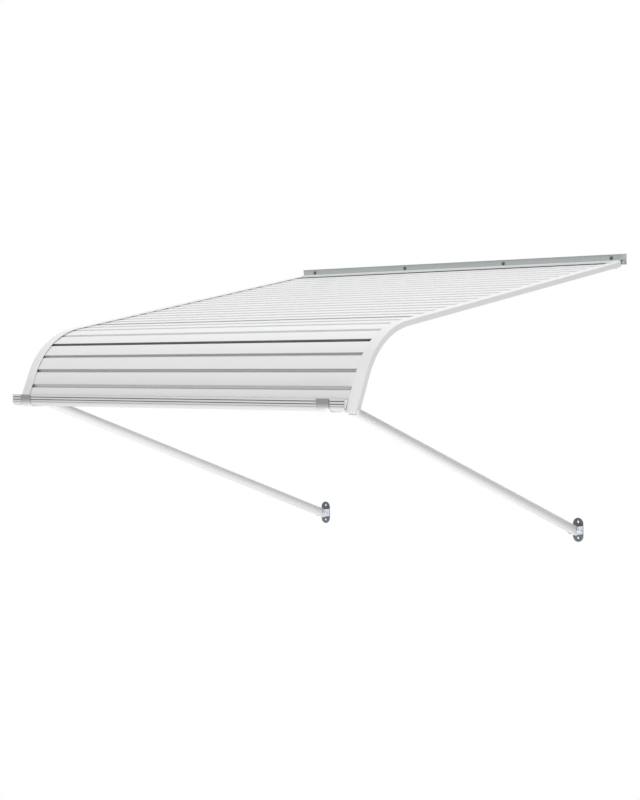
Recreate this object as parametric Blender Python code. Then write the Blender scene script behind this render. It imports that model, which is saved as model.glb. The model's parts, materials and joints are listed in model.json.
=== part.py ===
"""Aluminium door canopy: interlocking slats run down two curved side channels from a wall rail to a
grooved front bar, which two tubular arms prop off the wall. Metres, +Z up, X along the wall, and the
wall is the plane y = 0 with the canopy on its negative side."""

from math import atan2, cos, pi, radians, sin, tan

import bmesh
import bpy
from mathutils import Matrix, Vector
from mathutils.geometry import convex_hull_2d

# Overall shape of the canopy, measured on the outer face of the side channels
canopy_width = 1.160
projection = 1.0588
drop = 0.3725
roof_angle = radians(10.86)
front_angle = radians(22.17)
bend_radius = 0.194
fit = 0.0003

# Side channels
channel_flange = 0.0304
channel_depth = 0.0138
channel_wall = 0.0016
channel_start = 0.0132
left_channel_tuck = 0.0160
right_channel_overhang = 0.0010
bend_steps = 20

# Slats
slat_count = 27
slat_sheet = 0.0010
slat_groove = 0.0085
slat_tuck = 0.0015
slat_hook_leg = 0.0070
slat_trough_floor = 0.0083
slat_lip_top = 0.0045
slat_depth = channel_wall + fit
first_joint = 0.0215
last_joint_rise = 0.0114

# Wall rail and the hinge bar that hooks into it
rail_left_inset = 0.0340
rail_right_reach = 0.0090
rail_top = 0.0184
rail_foot = -0.0098
rail_plate = 0.0020
rail_wall = 0.0015
rail_top_lip = 0.0045
rail_gutter = 0.0095
rail_lip_top = -0.0015
rail_screw_height = 0.0085
rail_screw_count = 4
rail_screw_margin = 0.0455
hinge_cap_top = 0.0018
hinge_cap_back = -0.0037
hinge_leg = 0.0015
hinge_leg_foot = -0.0068
hinge_cap_front = -0.0126

# Front bar
bar_left_reach = 0.0170
bar_ahead = 0.0040
bar_rise = 0.0305
bar_depth = 0.0408
bar_wall = 0.0024
bar_nose_reach = 0.0160
bar_nose_height = 0.0100
bar_groove_width = 0.0020
bar_groove_depth = 0.0012
bar_groove_places = (0.0052, 0.0115, 0.0168)
nose_steps = 10

# Arms, their clamps on the bar and their feet on the wall
arm_diameter = 0.0250
arm_wall = 0.0014
arm_end = 0.0080
arm_segments = 32
clamp_width = 0.0370
clamp_sheet = 0.0020
clamp_hook = 0.0070
clamp_front_drop = 0.0008
left_clamp_inset = 0.0375
right_clamp_inset = 0.0920
clamp_pivot_out = 0.0157
clamp_pivot_down = 0.0149
ear_gap = 0.0274
ear_sheet = 0.0020
ear_radius = 0.0110
left_foot_inset = 0.1200
right_foot_inset = 0.1400
foot_height = -0.7060
foot_pivot_out = 0.0176
foot_plate = 0.0020
foot_length = 0.0640
foot_edge = 0.0004
foot_ear_height = 0.0220
foot_hole = 0.0060
foot_hole_place = 0.0215

# Fasteners
bolt_diameter = 0.0080
bolt_hole = bolt_diameter + 2 * fit
bolt_head = 0.0140
bolt_head_height = 0.0042
bolt_socket = 0.0050
bolt_socket_depth = 0.0025
bolt_past_nut = 0.0020
bolt_chamfer = 0.0008
nut_size = 0.0130
nut_height = 0.0060
screw_diameter = 0.0045
screw_hole = screw_diameter + 2 * fit
screw_head = 0.0090
screw_head_height = 0.0030
screw_recess = 0.0032
rail_screw_length = 0.0300
frame_screw_length = 0.0055
stop_screw_length = 0.0120
stop_screw_rise = 0.0055

WHITE = ((0.80, 0.80, 0.81, 1.0), 0.35, 0.0)
MILL = ((0.50, 0.52, 0.53, 1.0), 0.45, 0.9)
ZINC = ((0.24, 0.26, 0.28, 1.0), 0.50, 0.9)
STEEL = ((0.55, 0.55, 0.56, 1.0), 0.35, 1.0)
CLIP = ((0.42, 0.43, 0.44, 1.0), 0.40, 0.7)


def side_path():
    """Roof length, bend angle and front length that join the side profile's wall edge to its front edge."""
    bend = pi / 2 - roof_angle - front_angle
    roof = Vector((-cos(roof_angle), -sin(roof_angle)))
    front = Vector((-sin(front_angle), -cos(front_angle)))
    roof_normal = Vector((-sin(roof_angle), cos(roof_angle)))
    front_normal = Vector((-cos(front_angle), sin(front_angle)))
    rest = Vector((-projection, -drop)) - bend_radius * (front_normal - roof_normal)
    cross = roof.x * front.y - roof.y * front.x
    roof_length = (rest.x * front.y - rest.y * front.x) / cross
    front_length = (roof.x * rest.y - roof.y * rest.x) / cross
    return roof_length, bend, front_length


ROOF_LENGTH, BEND, FRONT_LENGTH = side_path()
PATH_LENGTH = ROOF_LENGTH + bend_radius * BEND + FRONT_LENGTH


def along(distance, height=0.0):
    """Point (y, z) down the side profile at a height over its outer face, and the slope there."""
    over = distance - ROOF_LENGTH
    turned = min(max(over / bend_radius, 0.0), BEND)
    slope = roof_angle + turned
    direction = Vector((-cos(slope), -sin(slope)))
    normal = Vector((-sin(slope), cos(slope)))
    roof = Vector((-cos(roof_angle), -sin(roof_angle))) * min(distance, ROOF_LENGTH)
    roof_normal = Vector((-sin(roof_angle), cos(roof_angle)))
    bend = bend_radius * (normal - roof_normal)
    rest = max(over - bend_radius * BEND, 0.0)
    return roof + bend + direction * rest + normal * height, slope


def material(name, look):
    """One Principled material from a colour, a roughness and a metallic value."""
    made = bpy.data.materials.new(name)
    made.use_nodes = True
    shader = made.node_tree.nodes["Principled BSDF"]
    shader.inputs["Base Color"].default_value = look[0]
    shader.inputs["Roughness"].default_value = look[1]
    shader.inputs["Metallic"].default_value = look[2]
    made.diffuse_color = look[0]
    return made


def place(name, mesh, look, location=(0.0, 0.0, 0.0), turn=None):
    """Put a mesh into the scene as a named object with its own material."""
    thing = bpy.data.objects.new(name, mesh)
    bpy.context.scene.collection.objects.link(thing)
    if not mesh.materials:
        mesh.materials.append(None)
    thing.material_slots[0].link = "OBJECT"
    thing.material_slots[0].material = material(name + "_finish", look)
    mesh.shade_smooth()
    mesh.set_sharp_from_angle(angle=radians(30))
    thing.matrix_world = Matrix.Translation(location) @ (turn or Matrix.Identity(4))
    return thing


def finish(bm, name):
    """Turn an edited mesh into mesh data with its faces pointing out."""
    bmesh.ops.recalc_face_normals(bm, faces=bm.faces)
    mesh = bpy.data.meshes.new(name)
    bm.to_mesh(mesh)
    bm.free()
    return mesh


def extrude_x(bm, outline, start, end):
    """Prism along X from an outline of (y, z) points."""
    verts = [bm.verts.new((start, y, z)) for y, z in outline]
    face = bm.faces.new(verts)
    grown = bmesh.ops.extrude_face_region(bm, geom=[face])
    moved = [v for v in grown["geom"] if isinstance(v, bmesh.types.BMVert)]
    bmesh.ops.translate(bm, verts=moved, vec=(end - start, 0.0, 0.0))


def prism(name, outline, start, end):
    """Mesh of one prism along X."""
    bm = bmesh.new()
    extrude_x(bm, outline, start, end)
    return finish(bm, name)


def round_bar(bm, diameter, start, end, segments=24):
    """Solid cylinder between two points."""
    start, end = Vector(start), Vector(end)
    axis = end - start
    turn = axis.to_track_quat("Z", "X").to_matrix().to_4x4()
    matrix = Matrix.Translation((start + end) / 2) @ turn
    bmesh.ops.create_cone(
        bm, cap_ends=True, segments=segments, radius1=diameter / 2, radius2=diameter / 2,
        depth=axis.length, matrix=matrix)


def combine(thing, mesh, operation):
    """Join a mesh to a thing, or cut it out of it, with the exact solver."""
    tool = bpy.data.objects.new(f"{thing.name}_tool", mesh)
    bpy.context.scene.collection.objects.link(tool)
    tool.matrix_world = thing.matrix_world
    bpy.context.view_layer.update()
    modifier = thing.modifiers.new(operation.title(), "BOOLEAN")
    modifier.operation = operation
    modifier.solver = "EXACT"
    modifier.object = tool
    graph = bpy.context.evaluated_depsgraph_get()
    result = bpy.data.meshes.new_from_object(thing.evaluated_get(graph))
    thing.modifiers.remove(modifier)
    thing.data = result
    bpy.data.objects.remove(tool)
    result.shade_smooth()
    result.set_sharp_from_angle(angle=radians(30))


def cylinder_mesh(diameter, start, end, segments=24):
    """Mesh of one cylinder between two points."""
    bm = bmesh.new()
    round_bar(bm, diameter, start, end, segments)
    return finish(bm, "cylinder")


def trough(end, depth):
    """Outline of a slat's lower edge: riser, floor and the lip that the next slat hooks over."""
    hook = end + slat_sheet + fit
    return [
        (end - slat_groove, depth),
        (end - slat_groove, depth - slat_trough_floor),
        (hook, depth - slat_trough_floor),
        (hook, depth - slat_lip_top),
        (hook + slat_sheet, depth - slat_lip_top),
        (hook + slat_sheet, depth - slat_trough_floor - slat_sheet),
        (end - slat_groove - slat_sheet, depth - slat_trough_floor - slat_sheet),
        (end - slat_groove - slat_sheet, depth - slat_sheet),
    ]


def slat_outline(pitch):
    """Section of a slat as (distance down the slope, height): hooked leg, tilted pan and trough."""
    leg = [
        (slat_sheet, -slat_tuck - slat_sheet), (slat_sheet, -slat_hook_leg), (0.0, -slat_hook_leg),
        (0.0, -slat_tuck),
    ]
    return leg + trough(pitch, 0.0)


def slat_joints(pitch):
    """Places of the joints, one pitch apart along the face the slats run on, and the last one's distance."""
    points = [along(first_joint, -slat_depth)[0]]
    distance = first_joint
    for _ in range(slat_count):
        low, high = distance, distance + 2 * pitch
        for _ in range(40):
            distance = (low + high) / 2
            if (along(distance, -slat_depth)[0] - points[-1]).length < pitch:
                low = distance
            else:
                high = distance
        points.append(along(distance, -slat_depth)[0])
    return points, distance


def slat_pitch():
    """Width of a slat, such that all of them end at the last joint."""
    low, high = 0.0, 2 * PATH_LENGTH / slat_count
    for _ in range(40):
        pitch = (low + high) / 2
        if slat_joints(pitch)[1] < PATH_LENGTH - last_joint_rise:
            low = pitch
        else:
            high = pitch
    return pitch


def build_slats():
    """The slats, one mesh placed between each pair of joints; gives back how low the last one reaches."""
    half = canopy_width / 2 - channel_wall - fit
    pitch = slat_pitch()
    mesh = prism("slat", [(-distance, height) for distance, height in slat_outline(pitch)], -half, half)
    joints = slat_joints(pitch)[0]
    for number, (start, end) in enumerate(zip(joints, joints[1:]), 1):
        step = end - start
        turn = Matrix.Rotation(atan2(-step.y, -step.x), 4, "X")
        last = place(f"slat_{number:02d}", mesh, WHITE, (0.0, start.x, start.y), turn)
    return min((last.matrix_world @ vert.co).z for vert in mesh.vertices)


def build_frame(name, side, length):
    """Side channel: a section drawn out down the roof, spun round the bend and drawn out down the front."""
    outer = side * canopy_width / 2
    inner = outer - side * channel_flange
    web = outer - side * channel_wall
    section = [
        (outer, 0.0), (inner, 0.0), (inner, -channel_wall), (web, -channel_wall),
        (web, channel_wall - channel_depth), (inner, channel_wall - channel_depth),
        (inner, -channel_depth), (outer, -channel_depth),
    ]
    bm = bmesh.new()
    verts = []
    for x, height in section:
        point = along(channel_start, height)[0]
        verts.append(bm.verts.new((x, point.x, point.y)))
    faces = [bm.faces.new(verts)]
    roof_end = along(ROOF_LENGTH)[0]
    bend_start = along(channel_start)[0]
    centre = along(ROOF_LENGTH, -bend_radius)[0]
    roof_faces = draw_out(bm, faces, roof_end - bend_start)
    spun = bmesh.ops.spin(
        bm, geom=roof_faces, cent=(0.0, centre.x, centre.y), axis=(1.0, 0.0, 0.0), dvec=(0.0, 0.0, 0.0),
        angle=BEND, steps=bend_steps, use_duplicate=False)
    bend_faces = [f for f in spun["geom_last"] if isinstance(f, bmesh.types.BMFace)]
    draw_out(bm, bend_faces, along(length)[0] - along(ROOF_LENGTH + bend_radius * BEND)[0])
    bmesh.ops.delete(bm, geom=roof_faces + bend_faces, context="FACES_ONLY")
    return place(name, finish(bm, name), WHITE)


def draw_out(bm, faces, step):
    """Extrude faces by a (y, z) step and return the moved ones."""
    grown = bmesh.ops.extrude_face_region(bm, geom=faces)
    moved = [v for v in grown["geom"] if isinstance(v, bmesh.types.BMVert)]
    bmesh.ops.translate(bm, verts=moved, vec=(0.0, step.x, step.y))
    return [f for f in grown["geom"] if isinstance(f, bmesh.types.BMFace)]


def pan_screw(name, seat, direction, length):
    """Pan-head screw with a round driver recess; the underside of its head is at the seat."""
    profile = [
        (0.0, length), (screw_diameter / 4, length), (screw_diameter / 2, length - screw_diameter / 2),
        (screw_diameter / 2, 0.0), (screw_head / 2, 0.0), (screw_head / 2, -0.4 * screw_head_height),
        (0.40 * screw_head, -0.8 * screw_head_height), (0.30 * screw_head, -screw_head_height),
        (screw_recess / 2, -screw_head_height), (screw_recess / 2, -0.4 * screw_head_height),
        (0.0, -0.4 * screw_head_height),
    ]
    quat = Vector(direction).to_track_quat("Z", "X")
    bm = bmesh.new()
    turned(bm, profile, Matrix.Identity(4), 16)
    return place(name, finish(bm, name), STEEL, seat, quat.to_matrix().to_4x4())


def turned(bm, profile, frame, segments):
    """Closed turned body from a profile of (radius, height) points that starts and ends on the axis."""
    rings = []
    for radius, height in profile:
        if radius < 1e-9:
            rings.append([bm.verts.new(frame @ Vector((0.0, 0.0, height)))])
            continue
        ring = [Matrix.Rotation(2 * pi * step / segments, 4, "Z") @ Vector((radius, 0.0, height))
                for step in range(segments)]
        rings.append([bm.verts.new(frame @ point) for point in ring])
    for first, second in zip(rings, rings[1:]):
        for step in range(segments):
            after = (step + 1) % segments
            if len(first) == 1:
                bm.faces.new((first[0], second[step], second[after]))
            elif len(second) == 1:
                bm.faces.new((first[step], second[0], first[after]))
            else:
                bm.faces.new((first[step], second[step], second[after], first[after]))


def rail_span():
    """X of the wall rail's two ends."""
    return rail_left_inset - canopy_width / 2, rail_right_reach + canopy_width / 2


def rail_screw_places():
    """Screw positions along the wall rail."""
    start, end = rail_span()
    step = (end - start - 2 * rail_screw_margin) / (rail_screw_count - 1)
    return [start + rail_screw_margin + number * step for number in range(rail_screw_count)]


def build_rail():
    """Wall rail: back plate with a top lip and a gutter whose lip carries the hinge bar, and its screws."""
    outline = [
        (0.0, rail_foot), (0.0, rail_top), (-rail_plate - rail_top_lip, rail_top),
        (-rail_plate - rail_top_lip, rail_top - rail_wall), (-rail_plate, rail_top - rail_wall),
        (-rail_plate, rail_foot + rail_wall), (rail_wall - rail_gutter, rail_foot + rail_wall),
        (rail_wall - rail_gutter, rail_lip_top), (-rail_gutter, rail_lip_top), (-rail_gutter, rail_foot),
    ]
    rail = place("wall_rail", prism("wall_rail", outline, *rail_span()), MILL)
    holes = bmesh.new()
    for number, x in enumerate(rail_screw_places(), 1):
        reach = Vector((0.0, 2 * rail_plate, 0.0))
        middle = Vector((x, -rail_plate / 2, rail_screw_height))
        round_bar(holes, screw_hole, middle - reach, middle + reach, 16)
        seat = (x, -rail_plate - fit, rail_screw_height)
        pan_screw(f"rail_screw_{number}", seat, (0.0, 1.0, 0.0), rail_screw_length)
    combine(rail, finish(holes, "rail_holes"), "DIFFERENCE")


def build_hinge_bar():
    """Hinge bar: a cap that hangs over the rail's lip, and a tongue with the first trough."""
    def sloped(distance, height):
        return along(distance, height)[0]

    tongue = [sloped(distance, height) for distance, height in trough(first_joint, -slat_depth)]
    root = hinge_cap_front + hinge_leg
    under = -root / cos(roof_angle)
    outline = [
        (hinge_cap_back, hinge_cap_top), (hinge_cap_front, hinge_cap_top),
        sloped(-hinge_cap_front / cos(roof_angle), -slat_depth), *tongue,
        sloped(under, -slat_depth - slat_sheet), (root, rail_lip_top + fit),
        (hinge_cap_back - hinge_leg, rail_lip_top + fit), (hinge_cap_back - hinge_leg, hinge_leg_foot),
        (hinge_cap_back, hinge_leg_foot),
    ]
    half = canopy_width / 2 - channel_wall - fit
    bar = place("hinge_bar", prism("hinge_bar", outline, -half, half), WHITE)
    front = hinge_cap_front - fit
    end_cut = [(rail_gutter, rail_top), (front, rail_top), (front, -rail_top), (rail_gutter, -rail_top)]
    combine(bar, prism("end_cut", end_cut, -canopy_width, rail_span()[0]), "DIFFERENCE")


def channel_face(z):
    """Y of the channels' outer face at a height on their straight front."""
    return (z + drop) * tan(front_angle) - projection


def bar_edges(lowest):
    """Front, back, top and bottom of the front bar; its floor carries the lowest corner of the last slat."""
    front = -projection - bar_ahead
    return front, front + bar_depth, bar_rise - drop, lowest - fit - bar_wall


def nose(edges, grow):
    """Rounded lower front corner of the bar, from its face to its underside, let out by a width."""
    front, _, _, bottom = edges
    points = []
    for step in range(nose_steps + 1):
        turn = pi / 2 * step / nose_steps
        points.append((
            front + bar_nose_reach - (bar_nose_reach + grow) * cos(turn),
            bottom + bar_nose_height - (bar_nose_height + grow) * sin(turn),
        ))
    return points


def build_front_bar(edges):
    """Front bar: grooved upright face, rounded nose and a slot on top for the channel and the slats."""
    front, back, top, bottom = edges
    outer = [(front, top)]
    for down in bar_groove_places:
        start, end = top - down, top - down - bar_groove_width
        deep = front + bar_groove_depth
        outer += [(front, start), (deep, start), (deep, end), (front, end)]
    lean = cos(front_angle)
    slot_front = channel_face(top - bar_wall) - fit / lean
    slot_back = channel_face(top) + (channel_depth + fit) / lean
    inner = [
        (back, bottom), (back, top), (slot_back, top), (slot_back, top - bar_wall),
        (back - bar_wall, top - bar_wall), (back - bar_wall, bottom + bar_wall),
    ]
    lip = [(front + bar_wall, top - bar_wall), (slot_front, top - bar_wall), (slot_front, top)]
    outline = outer + nose(edges, 0.0) + inner + list(reversed(nose(edges, -bar_wall))) + lip
    start, end = -canopy_width / 2 - bar_left_reach, canopy_width / 2 - channel_flange - fit
    place("front_bar", prism("front_bar", outline, start, end), WHITE)


def ear_outline(pivot, high, low, steps=28):
    """Outline of an ear: a round about its pivot drawn back to the edge between two points."""
    angles = [2 * pi * step / steps for step in range(steps)]
    points = [Vector(pivot) + ear_radius * Vector((cos(a), sin(a))) for a in angles]
    points += [Vector(high), Vector(low)]
    return [points[number] for number in convex_hull_2d(points)]


def ears(outline):
    """Mesh of a pair of ears, one on each side of an arm."""
    bm = bmesh.new()
    for side in (-1, 1):
        near = side * ear_gap / 2
        extrude_x(bm, outline, near, near + side * ear_sheet)
    return finish(bm, "ears")


def clamp_pivot(edges):
    """Pivot of an arm on its clamp, as (y, z)."""
    return edges[1] + fit + clamp_sheet + clamp_pivot_out, edges[2] - clamp_pivot_down


def build_clamp(edges):
    """Clamp: a strap wrapped round the bar, with two ears behind it for the arm, drilled for the bolt."""
    front, back, top, bottom = edges
    near, far = fit, fit + clamp_sheet
    start = top - clamp_front_drop
    tip = back - clamp_hook
    inner = [(front - near, start)] + nose(edges, near)
    inner += [(back + near, bottom - near), (back + near, top + near), (tip, top + near)]
    outer = [(tip, top + far), (back + far, top + far), (back + far, bottom - far)]
    outer += list(reversed(nose(edges, far))) + [(front - far, start)]
    clamp = place("left_clamp", prism("clamp", inner + outer, -clamp_width / 2, clamp_width / 2), CLIP)
    y, z = clamp_pivot(edges)
    root = back + fit + clamp_sheet / 2
    sides = ears(ear_outline((y, z), (root, z + ear_radius), (root, z - ear_radius)))
    hole = cylinder_mesh(bolt_hole, (-clamp_width, y, z), (clamp_width, y, z))
    combine(clamp, sides, "UNION")
    combine(clamp, hole, "DIFFERENCE")
    clamp.location.x = left_clamp_inset - canopy_width / 2
    place("right_clamp", clamp.data, CLIP, (canopy_width / 2 - right_clamp_inset, 0.0, 0.0))


def foot_outline(steps=10):
    """Outline of a foot's plate as (x, z): straight sides with a half round at each end."""
    radius = ear_gap / 2 + ear_sheet + foot_edge
    points = []
    for end in (1, -1):
        for step in range(steps + 1):
            angle = pi * step / steps + (0.0 if end > 0 else pi)
            points.append((radius * cos(angle), end * (foot_length / 2 - radius) + radius * sin(angle)))
    return points


def build_foot():
    """Foot: an oblong plate with a screw hole in each lobe and two folded ears that hold the arm."""
    bm = bmesh.new()
    face = bm.faces.new([bm.verts.new((x, 0.0, z)) for x, z in foot_outline()])
    grown = bmesh.ops.extrude_face_region(bm, geom=[face])
    moved = [v for v in grown["geom"] if isinstance(v, bmesh.types.BMVert)]
    bmesh.ops.translate(bm, verts=moved, vec=(0.0, -foot_plate, 0.0))
    foot = place("left_foot", finish(bm, "foot"), ZINC)
    root = -foot_plate / 2
    half = foot_ear_height / 2
    pivot = (-foot_pivot_out, 0.0)
    sides = ears(ear_outline(pivot, (root, half), (root, -half)))
    cuts = bmesh.new()
    for end in (-1, 1):
        z = end * foot_hole_place
        round_bar(cuts, foot_hole, (0.0, -2 * foot_plate, z), (0.0, 2 * foot_plate, z))
    round_bar(cuts, bolt_hole, (-ear_gap, -foot_pivot_out, 0.0), (ear_gap, -foot_pivot_out, 0.0))
    combine(foot, sides, "UNION")
    combine(foot, finish(cuts, "foot_cuts"), "DIFFERENCE")
    foot.location = (left_foot_inset - canopy_width / 2, 0.0, foot_height)
    place("right_foot", foot.data, ZINC, (canopy_width / 2 - right_foot_inset, 0.0, foot_height))


def build_arm(name, top, foot):
    """Arm: a straight round tube, cut square past each pivot and drilled along X for its bolts."""
    top, foot = Vector(top), Vector(foot)
    axis = (foot - top).normalized()
    start, end = top - axis * arm_end, foot + axis * arm_end
    turn = axis.to_track_quat("Z", "X").to_matrix().to_4x4()
    bm = bmesh.new()
    rings = []
    for radius in (arm_diameter / 2, arm_diameter / 2 - arm_wall):
        made = bmesh.ops.create_circle(
            bm, segments=arm_segments, radius=radius, matrix=Matrix.Translation(start) @ turn)
        rings += list({edge for vert in made["verts"] for edge in vert.link_edges})
    bridged = bmesh.ops.bridge_loops(bm, edges=rings)
    grown = bmesh.ops.extrude_face_region(bm, geom=bridged["faces"])
    moved = [v for v in grown["geom"] if isinstance(v, bmesh.types.BMVert)]
    bmesh.ops.translate(bm, verts=moved, vec=end - start)
    arm = place(name, finish(bm, name), WHITE)
    cuts = bmesh.new()
    for point in (top, foot):
        reach = Vector((arm_diameter, 0.0, 0.0))
        round_bar(cuts, bolt_hole, point - reach, point + reach)
    combine(arm, finish(cuts, "arm_cuts"), "DIFFERENCE")


def build_pivot_bolts(pivots):
    """A socket-head bolt and a nut for each pivot, the head on the +X side."""
    grip = ear_gap / 2 + ear_sheet + fit
    tip = grip + nut_height + bolt_past_nut
    crown = grip + bolt_head_height
    profile = [
        (0.0, -tip), (bolt_diameter / 2 - bolt_chamfer, -tip), (bolt_diameter / 2, bolt_chamfer - tip),
        (bolt_diameter / 2, grip), (bolt_head / 2, grip), (bolt_head / 2, grip + 0.4 * bolt_head_height),
        (0.42 * bolt_head, grip + 0.8 * bolt_head_height), (0.32 * bolt_head, crown),
        (bolt_socket / 2, crown), (bolt_socket / 2, crown - bolt_socket_depth),
        (0.0, crown - bolt_socket_depth),
    ]
    along_x = Matrix.Rotation(pi / 2, 4, "Y")
    bolt = bmesh.new()
    turned(bolt, profile, along_x, 24)
    bolt = finish(bolt, "pivot_bolt")
    nut = bmesh.new()
    corner = nut_size / cos(pi / 6)
    made = bmesh.ops.create_cone(
        nut, cap_ends=False, segments=6, radius1=corner / 2, radius2=corner / 2, depth=nut_height,
        matrix=along_x)
    hole = bmesh.ops.create_cone(
        nut, cap_ends=False, segments=24, radius1=bolt_diameter / 2 + fit, radius2=bolt_diameter / 2 + fit,
        depth=nut_height, matrix=along_x)
    for side in (-1, 1):
        rims = set()
        for vert in made["verts"] + hole["verts"]:
            if vert.co.x * side > 0:
                rims.update(edge for edge in vert.link_edges if edge.other_vert(vert).co.x * side > 0)
        bmesh.ops.triangle_fill(nut, edges=list(rims), use_beauty=True, use_dissolve=False)
    nut = finish(nut, "pivot_nut")
    for name, point in pivots.items():
        place(f"{name}_bolt", bolt, STEEL, point)
        place(f"{name}_nut", nut, STEEL, Vector(point) - Vector((grip + nut_height / 2, 0.0, 0.0)))


def build_frame_screws(right_end):
    """A screw up through each channel's lower flange at the hinge bar, and one that stops the last slat."""
    middle = first_joint - slat_groove / 2
    seat = along(middle, -channel_depth - fit)[0]
    high = along(middle, frame_screw_length + fit - channel_depth)[0]
    for side, name in ((-1, "left_frame"), (1, "right_frame")):
        x = side * (canopy_width / 2 - channel_flange / 2)
        low = 2 * seat - high
        for drilled in (name, "hinge_bar"):
            hole = cylinder_mesh(screw_hole, (x, low.x, low.y), (x, high.x, high.y), 16)
            combine(bpy.data.objects[drilled], hole, "DIFFERENCE")
        up = (0.0, high.x - seat.x, high.y - seat.y)
        pan_screw(f"{name}_screw", (x, seat.x, seat.y), up, frame_screw_length)
    stop = along(right_end - stop_screw_rise, -channel_depth / 2)[0]
    outer = canopy_width / 2
    hole = cylinder_mesh(
        screw_hole, (outer - 2 * channel_wall, stop.x, stop.y), (outer + channel_wall, stop.x, stop.y), 16)
    combine(bpy.data.objects["right_frame"], hole, "DIFFERENCE")
    pan_screw("slat_stop_screw", (outer + fit, stop.x, stop.y), (-1.0, 0.0, 0.0), stop_screw_length)


def main():
    """Clear the scene and build the canopy."""
    for thing in list(bpy.data.objects):
        bpy.data.objects.remove(thing)
    build_rail()
    build_hinge_bar()
    edges = bar_edges(build_slats())
    right_end = PATH_LENGTH + right_channel_overhang
    build_frame("left_frame", -1, PATH_LENGTH - bar_rise / cos(front_angle) + left_channel_tuck)
    build_frame("right_frame", 1, right_end)
    build_front_bar(edges)
    build_frame_screws(right_end)
    build_clamp(edges)
    build_foot()
    pivots = {}
    insets = {"left": (left_clamp_inset, left_foot_inset), "right": (right_clamp_inset, right_foot_inset)}
    for side, name in ((-1, "left"), (1, "right")):
        top, foot = (side * (canopy_width / 2 - inset) for inset in insets[name])
        top, foot = (top, *clamp_pivot(edges)), (foot, -foot_pivot_out, foot_height)
        build_arm(f"{name}_arm", top, foot)
        pivots[f"{name}_clamp"] = top
        pivots[f"{name}_foot"] = foot
    build_pivot_bolts(pivots)


main()
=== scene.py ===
"""Aluminium door canopy of interlocking slats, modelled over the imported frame."""

import json
from math import atan2, cos, pi, radians, sin, tan

import bmesh
import bpy
from bpy.props import FloatProperty, FloatVectorProperty, IntProperty, PointerProperty
from mathutils import Matrix, Vector

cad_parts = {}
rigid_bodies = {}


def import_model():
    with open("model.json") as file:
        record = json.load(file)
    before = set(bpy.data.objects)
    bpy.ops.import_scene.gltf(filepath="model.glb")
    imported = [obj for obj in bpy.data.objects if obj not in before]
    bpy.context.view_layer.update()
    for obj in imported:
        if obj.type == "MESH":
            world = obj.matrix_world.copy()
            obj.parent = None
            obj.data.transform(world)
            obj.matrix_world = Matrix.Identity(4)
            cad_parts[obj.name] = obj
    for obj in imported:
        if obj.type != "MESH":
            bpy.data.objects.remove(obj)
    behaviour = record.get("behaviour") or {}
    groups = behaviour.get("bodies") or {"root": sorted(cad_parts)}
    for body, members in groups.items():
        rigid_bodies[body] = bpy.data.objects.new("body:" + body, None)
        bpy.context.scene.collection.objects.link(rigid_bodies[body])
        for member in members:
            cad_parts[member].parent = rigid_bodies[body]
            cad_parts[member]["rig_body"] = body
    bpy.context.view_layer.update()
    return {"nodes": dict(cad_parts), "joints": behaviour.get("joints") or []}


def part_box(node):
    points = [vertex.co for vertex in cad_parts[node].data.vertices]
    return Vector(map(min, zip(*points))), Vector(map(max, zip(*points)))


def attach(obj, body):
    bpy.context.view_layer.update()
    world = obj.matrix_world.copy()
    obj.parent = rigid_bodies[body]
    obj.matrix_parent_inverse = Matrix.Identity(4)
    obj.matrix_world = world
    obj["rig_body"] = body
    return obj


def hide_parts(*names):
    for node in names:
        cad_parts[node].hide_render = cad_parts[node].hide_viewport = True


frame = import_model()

bl_info = {
    "name": "Door canopy",
    "version": (1, 0, 0),
    "blender": (4, 5, 0),
    "location": "View3D > Sidebar > Canopy",
    "description": "Models a canopy of interlocking slats with its wall rail and two arms",
    "category": "Add Mesh",
}

CLEARANCE = 0.0003
SLACK = 0.0001  # margin where faces are picked by their place
FINE_BREAK = 0.00025  # bevel of folded and grooved edges
EDGE_BREAK = 0.0003  # bevel of sawn, pressed and cut edges
SOFT_CORNER = 0.0010  # radius of a drawn section's soft corners
SMOOTH_UNDER = radians(32.0)
TROUGH_SEAM = 2  # number of the trough's corner where its seam starts

RAIL_PLATE = 0.0020
RAIL_LIP_TOP = -0.0015  # height of the lip that the hinge bar hooks over
BAR_GROOVES = (0.0052, 0.0115, 0.0168)  # upper edges, down from the bar's top
BAR_PLATE = 0.0015  # closes the bar's right end in front of the slats

KEY_PLACE, KEY_SIZE = (0.3, -1.0, 3.0), 3.0
LOW_PLACE, LOW_SIZE = (0.9, -2.7, -3.1), 1.6
LAMP_TARGET = Vector((0.0, -0.5, -0.3))
FLOOR_MIDDLE = -0.5
FADE_FROM, FADE_TO = 0.35, 0.97  # shares of the floor's radius
CAMERA_PLACE = (3.1534, -4.0143, -0.2744)
CAMERA_YAW, CAMERA_PITCH, CAMERA_ROLL = radians(42.172), radians(1.026), radians(-0.134)


def length(name, description, default):
    """A size in metres."""
    return FloatProperty(
        name=name, description=description, default=default, precision=4, unit="LENGTH")


def angle(name, description, default):
    """An angle that is given in degrees and kept in radians."""
    return FloatProperty(
        name=name, description=description, default=radians(default), unit="ROTATION")


def amount(name, description, default):
    """A value that can't be negative."""
    return FloatProperty(name=name, description=description, default=default, min=0.0)


def colour(name, description, default):
    """A colour, linear."""
    return FloatVectorProperty(
        name=name, description=description, default=default, min=0.0, max=1.0, subtype="COLOR")


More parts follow.
